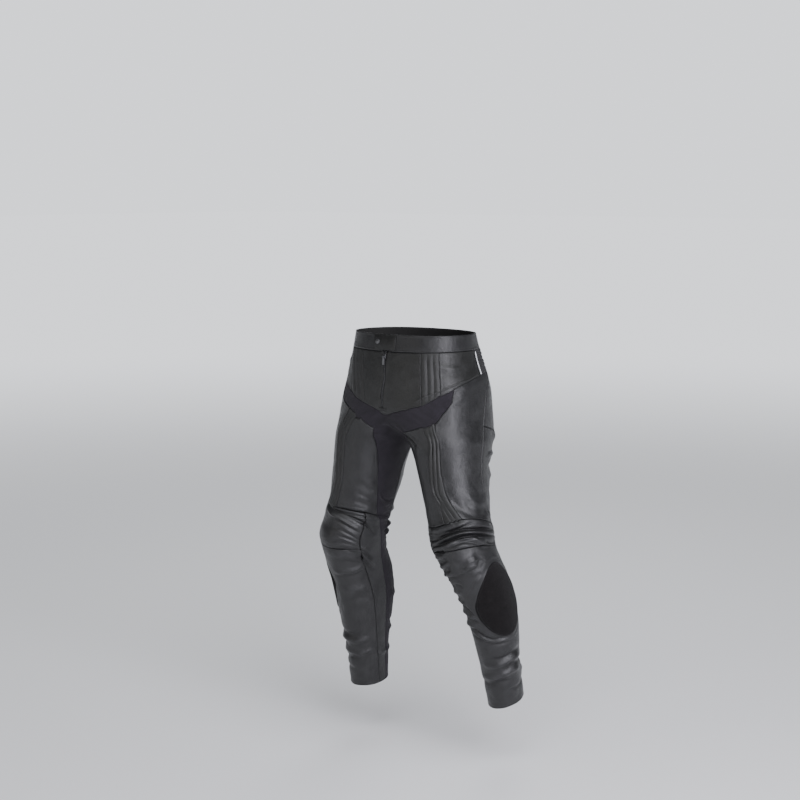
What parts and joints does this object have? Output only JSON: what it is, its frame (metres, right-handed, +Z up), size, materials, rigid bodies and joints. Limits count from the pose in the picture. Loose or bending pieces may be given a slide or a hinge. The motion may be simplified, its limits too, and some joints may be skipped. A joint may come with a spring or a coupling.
{
  "type": "motorcycle trousers",
  "caption": "Leather race trousers in worn walking pose, hollow, with ribbed yoke and thigh panels, stretch gusset, pleated knees, knee slider patches and fly zip.",
  "frame": {"origin": "middle of the waist opening, half way up the waistband, where the wearer's waist holds the trousers", "axes": "+X the wearer's left, -Y the wearer's front, +Z up"},
  "size_m": [0.5682, 0.3004, 0.9502],
  "materials": {
    "black_leather": "satin, fine grain",
    "ribbed_leather": "satin, ribbed or pleated",
    "stretch_cloth": "matt ribbed stretch textile",
    "lumbar_cloth": "matt gathered elastic",
    "loop_pile": "matt loop pile",
    "light_piping": "light satin cord",
    "zip_cloth": "woven tape with moulded coil",
    "gunmetal": "dark plated metal"
  },
  "bodies": {
    "trousers": {"yoke_front_left": "black_leather", "yoke_ribs_left": "ribbed_leather", "yoke_side_left": "black_leather", "seat_left": "black_leather", "inner_stretch_left": "stretch_cloth", "thigh_inner_left": "black_leather", "thigh_ribs_left": "ribbed_leather", "thigh_outer_left": "black_leather", "thigh_back_left": "black_leather", "knee_pleats_left": "ribbed_leather", "shin_front_left": "black_leather", "calf_inner_left": "black_leather", "calf_stretch_left": "stretch_cloth", "calf_outer_left": "black_leather", "piping_left": "light_piping", "slider_patch_left": "loop_pile", "yoke_front_right": "black_leather", "yoke_ribs_right": "ribbed_leather", "yoke_side_right": "black_leather", "seat_right": "black_leather", "inner_stretch_right": "stretch_cloth", "thigh_inner_right": "black_leather", "thigh_ribs_right": "ribbed_leather", "thigh_outer_right": "black_leather", "thigh_back_right": "black_leather", "knee_pleats_right": "ribbed_leather", "shin_front_right": "black_leather", "calf_inner_right": "black_leather", "calf_stretch_right": "stretch_cloth", "calf_outer_right": "black_leather", "piping_right": "light_piping", "slider_patch_right": "loop_pile", "waistband": "black_leather", "waist_tab": "black_leather", "waist_snap": "gunmetal", "lumbar_panel": "lumbar_cloth", "zip_tape": "zip_cloth", "fly_bar": "black_leather", "zip_slider": "gunmetal"},
    "pull_tab": {"pull_tab": "gunmetal"}
  },
  "joints": [
    {"name": "pull_tab_hinge", "type": "hinge", "parent": "trousers", "child": "pull_tab", "pos_m": [0, -0.12191, -0.0349], "axis": [-1, 0, 0], "range_deg": [0, 150]}
  ]
}
